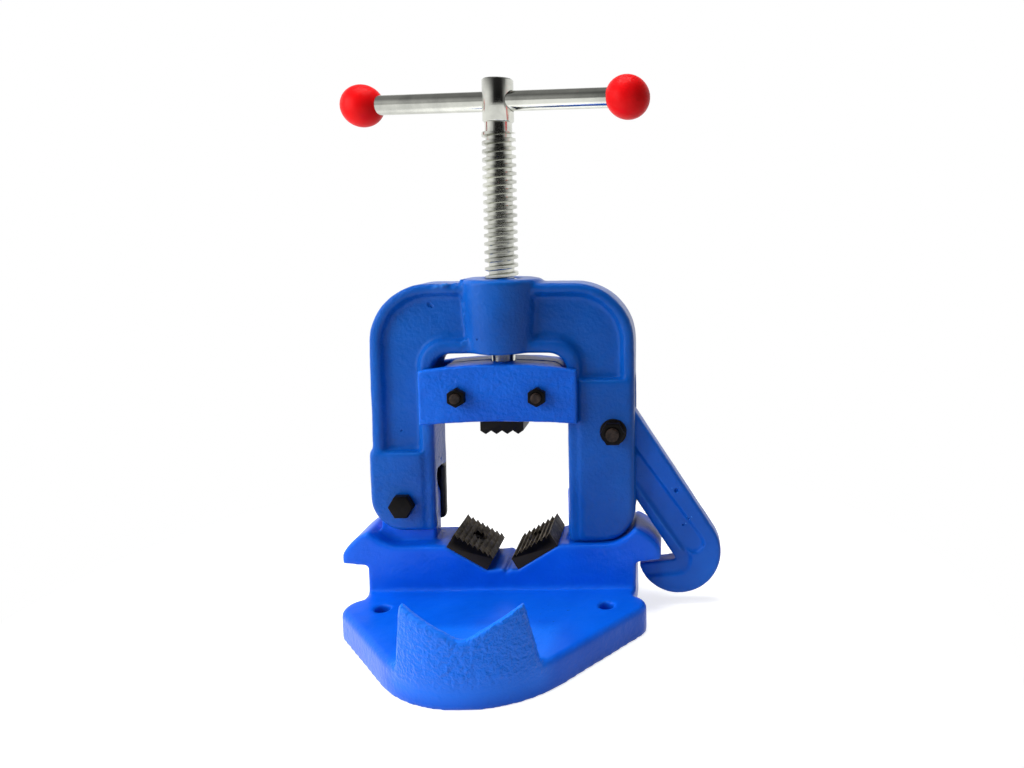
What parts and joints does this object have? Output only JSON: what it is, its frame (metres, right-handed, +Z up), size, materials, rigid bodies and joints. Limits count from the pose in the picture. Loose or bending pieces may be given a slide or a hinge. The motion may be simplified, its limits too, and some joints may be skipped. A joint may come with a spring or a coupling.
{
  "type": "pipe vise",
  "caption": "Bench pipe vise with a hinged yoke, a swinging latch hook, a T-handle screw that presses a toothed jaw into a toothed V, and a plain V rest.",
  "frame": {"origin": "on the bench under the screw's axis, midway between the front and rear of the cross wall", "axes": "+X to the latch's side, +Y to the rear along the pipe, +Z up along the screw"},
  "size_m": [0.2331, 0.1455, 0.323],
  "materials": {
    "blue_paint": "gloss paint over a sand casting",
    "plate_paint": "gloss paint over a rough sand casting",
    "black_steel": "black oxide, oiled",
    "bright_steel": "bright zinc",
    "red_plastic": "gloss"
  },
  "bodies": {
    "base": {"base": "blue_paint", "lower_jaw_left": "black_steel", "lower_jaw_right": "black_steel", "lower_jaw_screws": "black_steel"},
    "yoke": {"yoke": "blue_paint", "hinge_bolt": "black_steel", "hinge_nut": "black_steel", "hinge_washer": "black_steel", "latch_bolt": "black_steel", "latch_nut": "black_steel", "latch_washer": "black_steel"},
    "latch": {"latch": "blue_paint"},
    "crosshead": {"crosshead_front": "plate_paint", "crosshead_rear": "plate_paint", "crosshead_bolts": "black_steel", "crosshead_nuts": "black_steel", "upper_jaw": "black_steel"},
    "spindle": {"spindle": "bright_steel"},
    "handle": {"handle_bar": "bright_steel", "handle_balls": "red_plastic"}
  },
  "joints": [
    {"name": "yoke_hinge", "type": "hinge", "parent": "base", "child": "yoke", "pos_m": [-0.059, 0, 0.069], "axis": [0, -1, 0], "range_deg": [0, 75]},
    {"name": "latch_swing", "type": "hinge", "parent": "yoke", "child": "latch", "pos_m": [0.0676, 0, 0.1125], "axis": [0, -1, 0], "range_deg": [0, 60]},
    {"name": "crosshead_slide", "type": "slide", "parent": "yoke", "child": "crosshead", "axis": [0, 0, 1], "range_m": [-0.06, 0.005]},
    {"name": "spindle_turn", "type": "hinge", "parent": "crosshead", "child": "spindle", "pos_m": [0, 0, 0.2], "axis": [0, 0, 1], "range_deg": [-4325, 365]},
    {"name": "handle_slide", "type": "slide", "parent": "spindle", "child": "handle", "axis": [0.9781, -0.2079, 0], "range_m": [-0.057, 0.066]}
  ],
  "couplings": [
    {"joint": "spindle_turn", "follows": "crosshead_slide", "rad_per_m": 1256.6}
  ]
}
